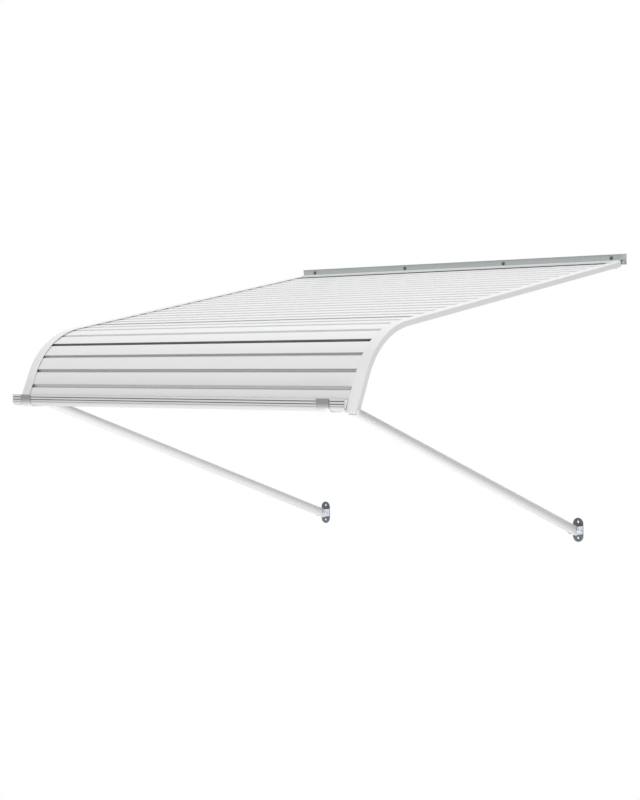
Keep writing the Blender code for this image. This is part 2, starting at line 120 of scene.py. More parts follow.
class CanopySizes(bpy.types.PropertyGroup):
    """Sizes of the canopy's own pieces."""

    width: length("Width", "Across the outer faces of the side channels", 1.160)
    projection: length("Projection", "From the wall to the channels' lower end", 1.0588)
    drop: length("Drop", "From the channels' upper end to their lower end", 0.3725)
    roof_angle: angle("Roof angle", "Fall of the roof from level", 10.86)
    front_angle: angle("Front angle", "Lean of the front from upright", 22.17)
    bend_radius: length("Bend radius", "Outer radius of the bend between roof and front", 0.194)
    flange: length("Channel flange", "Width of a channel's flanges", 0.0304)
    channel_depth: length("Channel depth", "Height of a channel's web", 0.0138)
    channel_wall: length("Channel wall", "Thickness of the channels", 0.0016)
    channel_start: length("Channel start", "Where the channels begin, down the slope", 0.0132)
    slat_pitch: length("Slat pitch", "From one slat's upper edge to the next", 0.0425)
    slat_count: IntProperty(name="Slats", description="Number of slats", default=27, min=1)
    # Troughs from this slat down get painted shade.
    first_shaded_slat: IntProperty(
        name="First shaded slat", description="Troughs from it down get painted shade", default=23, min=1)
    slat_sheet: length("Slat sheet", "Thickness of the slats", 0.0010)
    slat_groove: length("Groove", "Width of the trough that shows between two slats", 0.0085)
    slat_tuck: length("Tuck", "How far a slat's upper edge lies below its lower edge", 0.0015)
    trough_floor: length("Trough floor", "Depth of the trough between two slats", 0.0083)
    lip_top: length("Lip top", "How far the trough's lip stays below the slat's face", 0.0045)
    seam: length("Seam", "Strip at the foot of a trough where the next slat hooks in", 0.0052)
    first_joint: length("First joint", "Upper edge of the first slat, down the slope", 0.0215)
    bar_wall: length("Bar wall", "Thickness of the front bar", 0.0024)
    nose_reach: length("Nose reach", "How far the bar's lower front corner runs back", 0.0160)
    nose_height: length("Nose height", "How far the bar's lower front corner runs up", 0.0100)
    groove_width: length("Bar groove", "Width of the grooves in the bar's face", 0.0020)
    groove_depth: length("Bar groove depth", "Depth of the grooves in the bar's face", 0.0012)
    left_tuck: length("Left tuck", "How far the left channel runs down into the bar", 0.0160)
    right_overhang: length("Right overhang", "How far the right channel runs past the path", 0.0010)
    clamp_sheet: length("Clamp sheet", "Thickness of the clamps", 0.0020)
    clamp_hook: length("Clamp hook", "How far a clamp hooks over the bar's back", 0.0070)
    clamp_drop: length("Clamp drop", "From the bar's top down to a clamp's front edge", 0.0008)
    arm_diameter: length("Arm", "Diameter of the arms' tube", 0.0250)
    arm_wall: length("Arm wall", "Thickness of the arms' tube", 0.0014)
    arm_past: length("Arm past", "How far a tube runs past its pivots", 0.0080)
    ear_gap: length("Ear gap", "Between the two ears that hold a tube", 0.0274)
    ear_sheet: length("Ear sheet", "Thickness of the ears", 0.0020)
    ear_radius: length("Ear radius", "Radius of the ears about their bolt", 0.0110)


class CanopyFinishes(bpy.types.PropertyGroup):
    """Colours and gloss of the canopy's finishes, with the shade, shadow and sheen painted on some
    of them.
    """

    paint: colour("Paint", "White baked paint of the slats and channels", (0.87, 0.87, 0.88))
    # Groove: the troughs' paint greyed by painted shade.
    groove: colour("Groove", "Paint in the troughs between slats, greyed by painted shade", (0.60, 0.60, 0.61))
    # Seam: painted shadow where one slat hooks into the next.
    seam: colour("Seam", "Painted shadow line where slats hook together", (0.14, 0.14, 0.145))
    # Bar: the front bar's white paint, greyed by painted shade.
    bar: colour("Bar", "White paint of the front bar, greyed by painted shade", (0.60, 0.60, 0.61))
    # Arm paint: the arms' white paint, greyed by painted shade.
    arm: colour("Arm paint", "White paint of the two arms, greyed by painted shade", (0.73, 0.73, 0.74))
    # Gap: painted shadow in the first trough, under the wall rail.
    gap: colour("Gap", "Film in the first trough, under the wall rail", (0.03, 0.03, 0.03))
    paint_gloss: amount("Paint roughness", "Roughness of the paint", 0.38)
    rail: colour("Rail", "Unpainted aluminium of the wall rail", (0.46, 0.495, 0.495))
    clamp: colour("Clamp", "Dull metal of the clamps on the front bar", (0.29, 0.29, 0.295))
    # The clamps' bright lower part is a painted sheen.
    painted_sheen: colour("Clamp sheen", "Painted sheen on the clamps' metal, brighter towards the bottom", (0.80, 0.80, 0.81))
    zinc: colour("Dull zinc", "Plates of the feet", (0.15, 0.165, 0.18))
    bright_zinc: colour("Bright zinc", "Ears, bolts, nuts and stop screw", (0.72, 0.74, 0.80))
    steel: colour("Screw steel", "Screws of the rail and channels", (0.15, 0.15, 0.155))


class CanopyStage(bpy.types.PropertyGroup):
    """Floor, light and camera."""

    floor_drop: length("Floor", "How far the floor lies below the canopy's top", 2.45)
    floor_radius: length("Floor radius", "Radius of the round floor", 3.9)
    sky: amount("Sky", "Strength of the light from all round", 0.62)
    key: amount("Key light", "Power of the large lamp over the roof", 52.0)
    low: amount("Low light", "Power of the lamp under the floor", 84.0)
    lens: amount("Lens", "Focal length in millimetres", 81.558)


def sizes():
    """The canopy's sizes as they stand in the scene."""
    return bpy.context.scene.canopy_sizes


def finishes():
    """The canopy's colours as they stand in the scene."""
    return bpy.context.scene.canopy_finishes


def joint_place(name):
    """Place of a joint of the frame, at rest."""
    return Vector(next(joint["pos_m"] for joint in frame["joints"] if joint["name"] == name))


def side_profile():
    """Direction down the roof, the bend's angle, and the lengths of roof and front."""
    size = sizes()
    bend = pi / 2 - size.roof_angle - size.front_angle
    roof = Vector((-cos(size.roof_angle), -sin(size.roof_angle)))
    front = Vector((-sin(size.front_angle), -cos(size.front_angle)))
    turned = Vector((front.y - roof.y, roof.x - front.x)) * size.bend_radius
    rest = Vector((-size.projection, -size.drop)) - turned
    across = roof.cross(front)
    return roof, bend, rest.cross(front) / across, roof.cross(rest) / across


def along(distance, height=0.0):
    """Point (y, z) down the side profile, at a height over the channels' outer face."""
    size = sizes()
    roof, bend, roof_length, _ = side_profile()
    over = distance - roof_length
    slope = size.roof_angle + min(max(over / size.bend_radius, 0.0), bend)
    direction = Vector((-cos(slope), -sin(slope)))
    normal = Vector((direction.y, -direction.x))
    bent = size.bend_radius * (normal - Vector((roof.y, -roof.x)))
    beyond = direction * max(over - size.bend_radius * bend, 0.0)
    return roof * min(distance, roof_length) + beyond + bent + normal * height


def nose(front, bottom, grow, steps=18):
    """Lower front corner of the bar as (y, z) points from face to underside, let out by a width."""
    size = sizes()
    turns = [pi / 2 * step / steps for step in range(steps + 1)]
    return [(
        front + size.nose_reach - (size.nose_reach + grow) * cos(turn),
        bottom + size.nose_height - (size.nose_height + grow) * sin(turn)) for turn in turns]


def lay(bm, points):
    """Corners of a flat face laid through a few points."""
    verts = [bm.verts.new(point) for point in points]
    bm.faces.new(verts)
    return verts


def bevel(bm, parts, width, segments, affect="EDGES"):
    """Round edges or corners."""
    bmesh.ops.bevel(
        bm, geom=parts, offset=width, offset_type="OFFSET", segments=segments, profile=0.5,
        affect=affect, clamp_overlap=True, material=-1)


def soften_edges(bm, width, over=60.0):
    """Break every edge that is sharper than an angle."""
    bmesh.ops.recalc_face_normals(bm, faces=bm.faces)
    sharp = [
        edge for edge in bm.edges
        if edge.is_manifold and edge.calc_face_angle(0.0) > radians(over)]
    bevel(bm, sharp, width, 2)


def of_kind(parts, kind):
    """The parts that are of a kind of mesh element."""
    return [part for part in parts if isinstance(part, kind)]


def draw_out(bm, faces, step):
    """Extrude faces by a step and give back the moved ones."""
    grown = bmesh.ops.extrude_face_region(bm, geom=faces)["geom"]
    bmesh.ops.translate(bm, verts=of_kind(grown, bmesh.types.BMVert), vec=step)
    return of_kind(grown, bmesh.types.BMFace)


def circle(bm, segments, radius, matrix):
    """Edges of a circle in a matrix's XY plane."""
    made = bmesh.ops.create_circle(bm, segments=segments, radius=radius, matrix=matrix)["verts"]
    return list(dict.fromkeys(edge for vert in made for edge in vert.link_edges))


def turn_profile(bm, profile):
    """Spin a profile of (radius, height) points once round Z."""
    verts = [bm.verts.new((radius, 0.0, height)) for radius, height in profile]
    edges = [bm.edges.new(pair) for pair in zip(verts, verts[1:])]
    bmesh.ops.spin(
        bm, geom=verts + edges, cent=(0.0, 0.0, 0.0), axis=(0.0, 0.0, 1.0), angle=2 * pi, steps=32,
        use_merge=True)
    bmesh.ops.remove_doubles(bm, verts=bm.verts[:], dist=1e-6)


def sink(bm, rim, outline, step, narrow=1.0):
    """Fill between a rim and an outline inside it, and sink a recess along the outline."""
    bmesh.ops.triangle_fill(bm, edges=rim + outline, use_beauty=True)
    inner = [edge for edge in outline if edge.is_valid and edge.is_boundary]
    sunk = bmesh.ops.extrude_edge_only(bm, edges=inner)["geom"]
    floor = of_kind(sunk, bmesh.types.BMVert)
    bmesh.ops.translate(bm, verts=floor, vec=(0.0, 0.0, step))
    bmesh.ops.scale(bm, verts=floor, vec=(narrow, narrow, 1.0))
    bmesh.ops.holes_fill(bm, edges=of_kind(sunk, bmesh.types.BMEdge), sides=0)


def add_object(name, data):
    """A new object in the scene."""
    made = bpy.data.objects.new(name, data)
    bpy.context.scene.collection.objects.link(made)
    return made


def finish_piece(bm, name, finish, nodes):
    """Make the mesh an object, with one finish or several, that rides on its nodes' body."""
    bmesh.ops.recalc_face_normals(bm, faces=bm.faces)
    mesh = bpy.data.meshes.new(name)
    bm.to_mesh(mesh)
    bm.free()
    for made in finish if isinstance(finish, tuple) else (finish,):
        mesh.materials.append(made)
    mesh.shade_smooth()
    mesh.set_sharp_from_angle(angle=SMOOTH_UNDER)
    piece = add_object(name, mesh)
    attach(piece, frame["nodes"][nodes[0]]["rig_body"])
    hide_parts(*nodes)


def node_group(name, inputs, outputs):
    """A new shader node group with its sockets: name, kind and, for inputs, a default."""
    group = bpy.data.node_groups.new(name, "ShaderNodeTree")
    for label, kind, default in inputs:
        socket = group.interface.new_socket(label, in_out="INPUT", socket_type=f"NodeSocket{kind}")
        socket.default_value = default
    for label, kind in outputs:
        group.interface.new_socket(label, in_out="OUTPUT", socket_type=f"NodeSocket{kind}")
    return group, group.nodes.new("NodeGroupInput"), group.nodes.new("NodeGroupOutput")


def wire(tree, *pairs):
    """Join sockets, each pair a source and a target."""
    for source, target in pairs:
        tree.links.new(source, target)


def add_node(tree, kind, values=None, **settings):
    """A new shader node with its settings and the values of its input sockets."""
    made = tree.nodes.new(f"ShaderNode{kind}")
    for name, value in settings.items():
        setattr(made, name, value)
    for socket, value in (values or {}).items():
        made.inputs[socket].default_value = value
    return made


SURFACE_OUTPUTS = (
    ("Colour", "Color"), ("Roughness", "Float"), ("Normal", "Vector"))


def paint_surface():
    """Node group: baked paint with fine orange peel, long soft waves and a little settled dust."""
    if "Paint surface" in bpy.data.node_groups:
        return bpy.data.node_groups["Paint surface"]
    group, source, result = node_group(
        "Paint surface",
        [("Colour", "Color", (0.8, 0.8, 0.8, 1.0)), ("Roughness", "Float", 0.4),
         ("Peel", "Float", 0.08), ("Waves", "Float", 0.05),
         ("Dust", "Float", 0.1)],
        SURFACE_OUTPUTS)
    place = add_node(group, "TexCoord").outputs["Object"]
    peel = add_node(group, "TexNoise", {"Scale": 900.0, "Detail": 1.0})
    stretch = add_node(group, "Mapping", {"Scale": (2.0, 26.0, 26.0)})
    wave = add_node(group, "TexNoise", {"Scale": 1.0, "Detail": 1.0})
    peel_bump = add_node(group, "Bump", {"Distance": 0.0002})
    wave_bump = add_node(group, "Bump", {"Distance": 0.004})
    cloud = add_node(group, "TexNoise", {"Scale": 14.0, "Detail": 5.0})
    spread = add_node(group, "MapRange", {"From Min": 0.42, "From Max": 0.70})
    film = add_node(group, "Math", operation="MULTIPLY")
    tint = add_node(group, "Mix", {"B": (0.62, 0.61, 0.59, 1.0)}, data_type="RGBA")
    rough = add_node(group, "Math", {1: 0.5}, operation="MULTIPLY_ADD")
    wire(
        group,
        (place, peel.inputs["Vector"]), (place, stretch.inputs["Vector"]),
        (place, cloud.inputs["Vector"]), (stretch.outputs["Vector"], wave.inputs["Vector"]),
        (wave.outputs["Fac"], wave_bump.inputs["Height"]),
        (source.outputs["Waves"], wave_bump.inputs["Strength"]),
        (peel.outputs["Fac"], peel_bump.inputs["Height"]),
        (source.outputs["Peel"], peel_bump.inputs["Strength"]),
        (wave_bump.outputs["Normal"], peel_bump.inputs["Normal"]),
        (peel_bump.outputs["Normal"], result.inputs["Normal"]),
        (cloud.outputs["Fac"], spread.inputs["Value"]), (spread.outputs["Result"], film.inputs[0]),
        (source.outputs["Dust"], film.inputs[1]), (film.outputs["Value"], tint.inputs["Factor"]),
        (source.outputs["Colour"], tint.inputs["A"]),
        (tint.outputs["Result"], result.inputs["Colour"]),
        (film.outputs["Value"], rough.inputs[0]), (source.outputs["Roughness"], rough.inputs[2]),
        (rough.outputs["Value"], result.inputs["Roughness"]))
    return group


def metal_surface():
    """Node group: bare metal with drawing lines, blotches, and a painted sheen that brightens it
    downwards.
    """
    if "Metal surface" in bpy.data.node_groups:
        return bpy.data.node_groups["Metal surface"]
    group, source, result = node_group(
        "Metal surface",
        [("Colour", "Color", (0.5, 0.5, 0.5, 1.0)), ("Roughness", "Float", 0.4),
         ("Stretch", "Vector", (8.0, 900.0, 900.0)), ("Lines", "Float", 0.1),
         ("Blotches", "Float", 0.2), ("Painted sheen colour", "Color", (0.8, 0.8, 0.8, 1.0)),
         ("Painted sheen from", "Float", -9.0), ("Painted sheen to", "Float", -10.0)],
        SURFACE_OUTPUTS)
    place = add_node(group, "TexCoord").outputs["Object"]
    stretch = add_node(group, "VectorMath", operation="MULTIPLY")
    lines = add_node(group, "TexNoise", {"Scale": 1.0, "Detail": 3.0})
    bump = add_node(group, "Bump", {"Distance": 0.0003})
    blotch = add_node(group, "TexNoise", {"Scale": 60.0, "Detail": 4.0})
    both = add_node(group, "Math", {2: 0.0}, operation="MULTIPLY_ADD")
    shade = add_node(group, "HueSaturation")
    value = add_node(group, "MapRange", {"To Min": 1.15, "To Max": 0.85})
    even = add_node(group, "Mix", {"A": 0.5})
    split = add_node(group, "SeparateXYZ")
    # This ramp and mix paint a sheen that brightens the metal downwards.
    sheen_ramp = add_node(group, "MapRange")
    painted_sheen = add_node(group, "Mix", data_type="RGBA")
    rough = add_node(group, "Math", {1: 0.25}, operation="MULTIPLY_ADD")
    wire(
        group,
        (place, stretch.inputs[0]), (source.outputs["Stretch"], stretch.inputs[1]),
        (place, blotch.inputs["Vector"]), (stretch.outputs["Vector"], lines.inputs["Vector"]),
        (lines.outputs["Fac"], bump.inputs["Height"]),
        (source.outputs["Lines"], bump.inputs["Strength"]),
        (bump.outputs["Normal"], result.inputs["Normal"]),
        (source.outputs["Blotches"], even.inputs["Factor"]),
        (blotch.outputs["Fac"], even.inputs["B"]),
        (even.outputs["Result"], value.inputs["Value"]),
        (value.outputs["Result"], shade.inputs["Value"]),
        (place, split.inputs["Vector"]), (split.outputs["Z"], sheen_ramp.inputs["Value"]),
        (source.outputs["Painted sheen from"], sheen_ramp.inputs["From Min"]),
        (source.outputs["Painted sheen to"], sheen_ramp.inputs["From Max"]),
        (sheen_ramp.outputs["Result"], painted_sheen.inputs["Factor"]),
        (source.outputs["Colour"], painted_sheen.inputs["A"]),
        (source.outputs["Painted sheen colour"], painted_sheen.inputs["B"]),
        (painted_sheen.outputs["Result"], shade.inputs["Color"]),
        (shade.outputs["Color"], result.inputs["Colour"]),
        (lines.outputs["Fac"], both.inputs[0]), (source.outputs["Lines"], both.inputs[1]),
        (both.outputs["Value"], rough.inputs[0]), (source.outputs["Roughness"], rough.inputs[2]),
        (rough.outputs["Value"], result.inputs["Roughness"]))
    return group


def surfaced(name, group, base, values, metallic=0.0):
    """A material whose shader takes colour, roughness and normal from a surface group."""
    if name in bpy.data.materials:
        return bpy.data.materials[name]
    made = bpy.data.materials.new(name)
    made.use_nodes = True
    tree = made.node_tree
    shader = tree.nodes["Principled BSDF"]
    shader.inputs["Metallic"].default_value = metallic
    surface = add_node(tree, "Group", node_tree=group)
    for label, value in {"Colour": (*base, 1.0), **values}.items():
        surface.inputs[label].default_value = value
    wire(
        tree,
        (surface.outputs["Colour"], shader.inputs["Base Color"]),
        (surface.outputs["Roughness"], shader.inputs["Roughness"]),
        (surface.outputs["Normal"], shader.inputs["Normal"]))
    return made


def painted(name, base, dust, rough=None, peel=0.01, waves=0.0):
    """A painted finish, with the paint's own roughness unless another is given."""
    return surfaced(name, paint_surface(), base, {
        "Roughness": finishes().paint_gloss if rough is None else rough,
        "Peel": peel, "Waves": waves, "Dust": dust})


def white_paint():
    """Baked white paint."""
    return painted("baked_white_paint", finishes().paint, 0.04, waves=0.004)


def bar_painted_shade():
    """The front bar's white paint, greyed by painted shade."""
    return painted("bar_painted_shade", finishes().bar, 0.04, waves=0.004)


def arm_painted_shade():
    """The arms' white paint, greyed a little by painted shade."""
    return painted("arm_painted_shade", finishes().arm, 0.06)


def gap_painted_shadow():
    """Painted shadow in the first trough."""
    return painted("gap_painted_shadow", finishes().gap, 0.05, 0.8, 0.05)


def groove_painted_shade():
    """Paint in a trough, greyed by painted shade, with a noise film of dust."""
    return painted("groove_painted_shade", finishes().groove, 0.3, 0.55, 0.05)


def seam_painted_shadow():
    """Painted shadow: the dark line where one slat hooks into the next."""
    return painted("seam_painted_shadow", finishes().seam, 0.1, 0.8, 0.05)


def rail_metal():
    """Mill-finish aluminium of the rail, drawn along its length."""
    return surfaced(
        "drawn_aluminium", metal_surface(), finishes().rail, {"Roughness": 0.42, "Lines": 0.25},
        metallic=0.7)


def clamp_metal():
    """Dull metal of the clamps, with a painted sheen that brightens it round the bar's nose."""
    low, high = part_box("front_bar")
    # The lower part of each clamp gets a painted sheen.
    return surfaced("dull_clamp_metal", metal_surface(), finishes().clamp, {
        "Roughness": 0.45, "Lines": 0.15, "Painted sheen colour": (*finishes().painted_sheen, 1.0),
        "Painted sheen from": low.z + 0.6 * (high.z - low.z), "Painted sheen to": low.z}, metallic=0.6)


def dull_zinc():
    """Dark zinc of the feet's plates."""
    return surfaced("dull_zinc", metal_surface(), finishes().zinc, {
        "Roughness": 0.45, "Stretch": (120.0, 120.0, 120.0), "Lines": 0.3, "Blotches": 0.8},
        metallic=0.6)


def bright_zinc():
    """Bright zinc of the ears, bolts, nuts and stop screw."""
    return surfaced("bright_zinc", metal_surface(), finishes().bright_zinc, {
        "Roughness": 0.30, "Stretch": (120.0, 120.0, 120.0), "Lines": 0.2, "Blotches": 0.5},
        metallic=0.9)


def screw_steel():
    """Dark steel of the screws."""
    return surfaced("dark_screw_steel", metal_surface(), finishes().steel, {
        "Roughness": 0.38, "Stretch": (200.0, 200.0, 200.0), "Lines": 0.2}, metallic=0.7)


def prism(points, start, end, soft=(), plain=(), other=0.00035):
    """Extrusion along X of (y, z) points, with soft, plain and, for the rest, broken corners."""
    bm = bmesh.new()
    verts = lay(bm, [(start, y, z) for y, z in points])
    if soft:
        bevel(bm, [verts[number] for number in soft], SOFT_CORNER, 4, "VERTICES")
    rest = [vert for number, vert in enumerate(verts) if number not in soft and number not in plain]
    bevel(bm, rest, other, 2, "VERTICES")
    draw_out(bm, bm.faces[:], (end - start, 0.0, 0.0))
    return bm


def trough(end, depth):
    """A slat's lower edge as (distance down, height): riser, floor with its seam, and lip."""
    size = sizes()
    sheet, riser, floor = size.slat_sheet, end - size.slat_groove, depth - size.trough_floor
    hook, lip_top = end + sheet + CLEARANCE, depth - size.lip_top
    return [
        (riser, depth), (riser, floor), (end - size.seam, floor), (hook, floor), (hook, lip_top),
        (hook + sheet, lip_top), (hook + sheet, floor - sheet), (riser - sheet, floor - sheet),
        (riser - sheet, depth - sheet)]


def paint_trough_shade(bm, end, depth, place):
    """Give a trough's riser the second finish of its piece and the floor's seam the third, through
    which a piece paints shade and shadow into its troughs.
    """
    size = sizes()
    riser, floor, near = end - size.slat_groove, depth - size.trough_floor, 2 * SLACK
    for face in bm.faces:
        down, height = place(face.calc_center_median())
        inside = riser - near < down < end + size.slat_sheet
        if inside and floor - near < height < depth - 3 * near:
            face.material_index = 1 if down < riser + near else 2 if down > end - size.seam else 0


def pan_screw(name, seat, direction, tip, finish):
    """Pan-head screw: a turned shank and head with a cross sunk into its top."""
    bm = bmesh.new()
    head, height, shank, recess, narrow = 0.0045, 0.0030, 0.00225, 0.0014, 0.7
    turn_profile(bm, [
        (0.0, tip), (shank, tip - shank), (shank, 0.0), (head, 0.0), (head, -0.4 * height),
        (0.92 * head, -0.65 * height), (0.80 * head, -0.82 * height), (0.62 * head, -0.94 * height),
        (0.45 * head, -height)])
    rim = [edge for edge in bm.edges if edge.is_boundary]
    grid = bmesh.ops.create_grid(
        bm, x_segments=3, y_segments=3, size=0.32 * head,
        matrix=Matrix.Translation((0.0, 0.0, -height)))["verts"]
    faces = list(dict.fromkeys(face for vert in grid for face in vert.link_faces))
    corners = [
        face for face in faces
        if min(abs(part) for part in face.calc_center_median().xy) > 0.1 * head]
    bmesh.ops.delete(bm, geom=corners, context="FACES")
    faces = [face for face in faces if face.is_valid]
    cross = [edge for face in faces for edge in face.edges if edge.is_boundary]
    bmesh.ops.delete(bm, geom=faces, context="FACES_ONLY")
    sink(bm, rim, cross, recess, narrow)
    turn = Vector(direction).to_track_quat("Z", "X").to_matrix().to_4x4()
    bmesh.ops.transform(bm, matrix=Matrix.Translation(seat) @ turn, verts=bm.verts)
    finish_piece(bm, name, finish, [name.removesuffix("_head")])


class WallRail(bpy.types.Operator):
    """Model the wall rail: back plate, top lip, and gutter whose lip the hinge bar hooks over"""

    bl_idname = "canopy.wall_rail"
    bl_label = "Wall rail"

    def execute(self, context):
        low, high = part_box("wall_rail")
        wall, top_lip, gutter = 0.0015, 0.0045, 0.0095
        points = [
            (0.0, low.z), (0.0, high.z), (-RAIL_PLATE - top_lip, high.z),
            (-RAIL_PLATE - top_lip, high.z - wall), (-RAIL_PLATE, high.z - wall),
            (-RAIL_PLATE, low.z + wall), (wall - gutter, low.z + wall),
            (wall - gutter, RAIL_LIP_TOP), (-gutter, RAIL_LIP_TOP), (-gutter, low.z)]
        bm = prism(points, low.x, high.x, soft=(2, 9))
        finish_piece(bm, "rail", rail_metal(), ["wall_rail"])
        return {"FINISHED"}


class HingeBar(bpy.types.Operator):
    """Model the hinge bar: a cap over the wall rail's lip, and a tongue with the first trough"""

    bl_idname = "canopy.hinge_bar"
    bl_label = "Hinge bar"

    def execute(self, context):
        size = sizes()
        cap_top, cap_back, cap_front, leg, leg_foot = 0.0018, -0.0037, -0.0126, 0.0015, -0.0068
        depth, sheet = -size.channel_wall - CLEARANCE, size.slat_sheet
        root, lean, cap_floor = cap_front + leg, cos(size.roof_angle), RAIL_LIP_TOP + CLEARANCE
        roof = side_profile()[0]

        def place(point):
            spot = Vector((point.y, point.z))
            return spot.dot(roof), spot.dot(Vector((roof.y, -roof.x)))

        tongue = [tuple(along(*point)) for point in (
            (-cap_front / lean, depth), *trough(size.first_joint, depth),
            (-root / lean, depth - sheet))]
        outline = [
            (cap_back, cap_top), (cap_front, cap_top), *tongue, (root, cap_floor),
            (cap_back - leg, cap_floor), (cap_back - leg, leg_foot), (cap_back, leg_foot)]
        rail_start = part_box("wall_rail")[0].x
        half = size.width / 2 - size.channel_wall - CLEARANCE
        seam = 1 + TROUGH_SEAM
        bm = prism(
            outline, rail_start, half, soft=(0, 1), plain=(outline.index(tongue[seam]),),
            other=EDGE_BREAK)
        paint_trough_shade(bm, size.first_joint, depth, place)
        part = prism(tongue, -half, rail_start, plain=(seam,), other=EDGE_BREAK)
        paint_trough_shade(part, size.first_joint, depth, place)
        mesh = bpy.data.meshes.new("tongue")
        part.to_mesh(mesh)
        part.free()
        bm.from_mesh(mesh)
        bpy.data.meshes.remove(mesh)
        # The first trough's riser and seam get painted shadow.
        finish = (white_paint(), gap_painted_shadow(), gap_painted_shadow())
        finish_piece(bm, "hinge_bar_sheet", finish, ["hinge_bar"])
        return {"FINISHED"}


class Slats(bpy.types.Operator):
    """Roll one slat section and set it in every place between the channels, down the path"""

    bl_idname = "canopy.slats"
    bl_label = "Slats"

    def execute(self, context):
        size = sizes()
        sheet, end, leg = size.slat_sheet, size.slat_pitch, 0.0070
        section = [
            (sheet, -size.slat_tuck - sheet), (sheet, -leg), (0.0, -leg), (0.0, -size.slat_tuck),
            *trough(end, 0.0)]
        half = size.width / 2 - size.channel_wall - CLEARANCE
        points = [(-down, height) for down, height in section]
        rolled = prism(points, -half, half, soft=(3, 4), plain=(4 + TROUGH_SEAM,))
        paint_trough_shade(rolled, end, 0.0, lambda point: (-point.y, point.z))
        depth = -size.channel_wall - CLEARANCE
        start, joint = along(size.first_joint, depth), size.first_joint
        for number in range(1, size.slat_count + 1):
            joint = self.next_joint(joint, start, depth)
            stop = along(joint, depth)
            step = stop - start
            turn = Matrix.Rotation(atan2(-step.y, -step.x), 4, "X")
            bm = rolled.copy()
            bmesh.ops.transform(
                bm, matrix=Matrix.Translation((0.0, start.x, start.y)) @ turn, verts=bm.verts)
            name = f"slat_{number:02d}"
            finish_piece(bm, f"{name}_sheet", self.trough_finishes(number), [name])
            start = stop
        rolled.free()
        return {"FINISHED"}

    def next_joint(self, joint, start, depth):
        """Distance down the path, found by halving, where the joint is a pitch from a start."""
        pitch = sizes().slat_pitch
        low, high = joint, joint + 2 * pitch
        for _ in range(40):
            joint = (low + high) / 2
            short = (along(joint, depth) - start).length < pitch
            low, high = (joint, high) if short else (low, joint)
        return joint

    def trough_finishes(self, number):
        """Finishes of a slat, its trough's riser and its seam, with painted shade in the lower
        troughs.
        """
        size = sizes()
        paint, groove, seam = white_paint(), groove_painted_shade(), seam_painted_shadow()
        # Painted shade differs slat by slat: lower troughs shaded, one roof trough shaded, painted
        # shadow on the first shaded slat's riser, the last but one lighter.
        usual = (paint, groove, seam) if number > size.first_shaded_slat else (paint, paint, paint)
        special = {
            size.first_shaded_slat - 4: (paint, groove, seam), size.first_shaded_slat: (paint, seam, groove),
            size.slat_count - 1: (paint, paint, groove)}
        return special.get(number, usual)


class SideChannels(bpy.types.Operator):
    """Draw each side channel down the roof, spin it round the bend and draw it to its lower end"""

    bl_idname = "canopy.side_channels"
    bl_label = "Side channels"

    def execute(self, context):
        size = sizes()
        _, bend, roof_end, front_length = side_profile()
        bend_end = roof_end + size.bend_radius * bend
        path_end = bend_end + front_length
        bar_top = path_end - (size.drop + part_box("front_bar")[1].z) / cos(size.front_angle)
        left_end, right_end = bar_top + size.left_tuck, path_end + size.right_overhang
        web_round, edge_round = 0.0014, 0.0004
        for node, side, end in (("left_frame", -1, left_end), ("right_frame", 1, right_end)):
            outer = side * size.width / 2
            inner, web = outer - side * size.flange, outer - side * size.channel_wall
            deep, wall = size.channel_depth, size.channel_wall
            section = [
                (outer, 0.0), (inner, 0.0), (inner, -wall), (web, -wall), (web, wall - deep),
                (inner, wall - deep), (inner, -deep), (outer, -deep)]
            bm = bmesh.new()
            verts = lay(bm, [(x, *along(size.channel_start, height)) for x, height in section])
            bevel(bm, [verts[0], verts[7]], web_round, 4, "VERTICES")
            bevel(bm, verts[1:7], edge_round, 2, "VERTICES")
            top = bm.faces[:]
            upper = draw_out(bm, top, (0.0, *(along(roof_end) - along(size.channel_start))))
            centre = (0.0, *along(roof_end, -size.bend_radius))
            spun = bmesh.ops.spin(
                bm, geom=upper, cent=centre, axis=(1.0, 0.0, 0.0), angle=bend, steps=36)
            lower = of_kind(spun["geom_last"], bmesh.types.BMFace)
            draw_out(bm, lower, (0.0, *(along(end) - along(bend_end))))
            bmesh.ops.delete(bm, geom=upper + lower, context="FACES_ONLY")
            finish_piece(bm, node.replace("frame", "channel"), white_paint(), [node])
        return {"FINISHED"}


